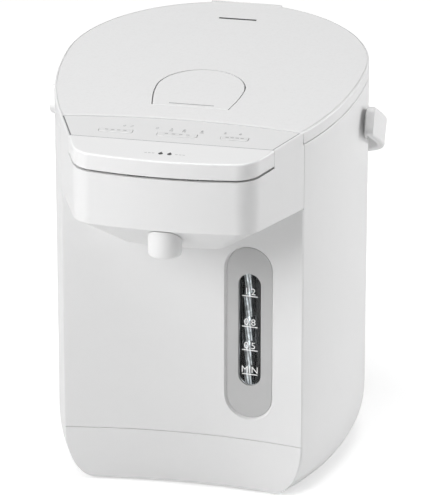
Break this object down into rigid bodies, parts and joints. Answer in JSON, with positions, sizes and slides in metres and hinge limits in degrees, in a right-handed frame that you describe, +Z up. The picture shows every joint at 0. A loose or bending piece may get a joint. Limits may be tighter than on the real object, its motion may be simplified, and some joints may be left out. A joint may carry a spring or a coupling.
{
  "type": "electric thermo pot",
  "caption": "Electric thermo pot: tapered pot with a hooded spout, press key, water gauge in its hollowed front, hinged lid with release flap and a carrying bail.",
  "frame": {"origin": "on the floor, under the middle of the outline seen from above", "axes": "+Z up, -Y towards the spout, +X to the right seen from the front by somebody facing the pot"},
  "size_m": [0.2212, 0.2762, 0.2773],
  "materials": {
    "white_shell": "satin",
    "white_gloss": "gloss",
    "grey_plate": "satin",
    "dark_plastic": "matt",
    "clear_plastic": "clear",
    "stainless": "satin",
    "rubber": "matt",
    "silicone": "soft matt",
    "green_board": "lacquered",
    "brown_board": "bare"
  },
  "bodies": {
    "pot": {"outer_shell": "white_shell", "front_panel": "white_shell", "base_band": "white_shell", "base_cover": "white_shell", "base_screw_1": "stainless", "base_screw_2": "stainless", "base_screw_3": "stainless", "base_screw_4": "stainless", "foot_ring": "rubber", "base_frame": "grey_plate", "inner_vessel": "stainless", "vessel_bottom": "stainless", "heater": "stainless", "thermostat": "dark_plastic", "mouth_ring": "white_shell", "head_housing": "white_shell", "control_panel": "white_gloss", "indicator_lens": "clear_plastic", "control_board": "green_board", "key_pivot_pin": "stainless", "key_spring": "stainless", "dispense_switch": "dark_plastic", "chin_cover": "white_shell", "nozzle_sleeve": "white_gloss", "spout_pipe": "silicone", "level_bezel": "grey_plate", "level_window": "clear_plastic", "level_tube": "clear_plastic", "tube_seal_lower": "rubber", "tube_seal_upper": "rubber", "level_backing": "dark_plastic", "pump_housing": "grey_plate", "motor_can": "stainless", "motor_bracket": "stainless", "delivery_pipe": "silicone", "power_board": "brown_board", "inlet_socket": "dark_plastic", "inlet_pin_left": "stainless", "inlet_pin_right": "stainless", "wiring": "rubber", "handle_boss_right": "white_shell", "handle_boss_left": "white_shell", "hinge_bracket": "stainless"},
    "lid": {"lid_cover": "white_shell", "lid_hinge_pin": "stainless", "lid_base": "white_shell", "lid_gasket": "silicone", "lid_steel_plate": "stainless", "steam_duct": "grey_plate", "release_pin": "stainless", "release_spring": "stainless"},
    "flap": {"lid_release": "white_shell"},
    "latch": {"latch_slider": "grey_plate"},
    "key": {"dispense_key": "white_gloss"},
    "left_key": {"panel_key_left": "white_gloss"},
    "centre_key": {"panel_key_centre": "white_gloss"},
    "right_key": {"panel_key_right": "white_gloss"},
    "bail": {"carry_handle": "white_shell"},
    "rotor": {"motor_rotor": "stainless", "pump_impeller": "grey_plate"}
  },
  "joints": [
    {"name": "lid_hinge", "type": "hinge", "parent": "pot", "child": "lid", "pos_m": [0, 0.12117, 0.267], "axis": [-1, 0, 0], "range_deg": [0, 88]},
    {"name": "flap_hinge", "type": "hinge", "parent": "lid", "child": "flap", "pos_m": [0, -0.05013, 0.2584], "axis": [-1, 0, 0], "range_deg": [0, 5], "stiffness_Nm_per_rad": 0.6, "springref_deg": -2.86, "deforming": ["release_spring"]},
    {"name": "latch_slide", "type": "slide", "parent": "lid", "child": "latch", "axis": [0, 0.9961, 0.0878], "range_m": [0, 0.0032]},
    {"name": "key_hinge", "type": "hinge", "parent": "pot", "child": "key", "pos_m": [0, -0.11263, 0.24959], "axis": [1, 0, 0], "range_deg": [0, 2.8], "stiffness_Nm_per_rad": 1.5, "springref_deg": -2.86, "deforming": ["key_spring"]},
    {"name": "left_key_press", "type": "slide", "parent": "pot", "child": "left_key", "axis": [0, 0, -1], "range_m": [0, 0.0006], "stiffness_N_per_m": 500, "springref_m": -0.0004},
    {"name": "centre_key_press", "type": "slide", "parent": "pot", "child": "centre_key", "axis": [0, 0, -1], "range_m": [0, 0.0006], "stiffness_N_per_m": 500, "springref_m": -0.0004},
    {"name": "right_key_press", "type": "slide", "parent": "pot", "child": "right_key", "axis": [0, 0, -1], "range_m": [0, 0.0006], "stiffness_N_per_m": 500, "springref_m": -0.0004},
    {"name": "bail_swing", "type": "hinge", "parent": "pot", "child": "bail", "pos_m": [0, 0.02367, 0.2315], "axis": [1, 0, 0], "range_deg": [0, 116]},
    {"name": "rotor_spin", "type": "hinge", "parent": "pot", "child": "rotor", "pos_m": [0.01, -0.01963, 0.045], "axis": [0, 0, 1], "continuous": true}
  ],
  "couplings": [
    {"joint": "latch_slide", "follows": "flap_hinge", "m_per_rad": 0.03666}
  ]
}
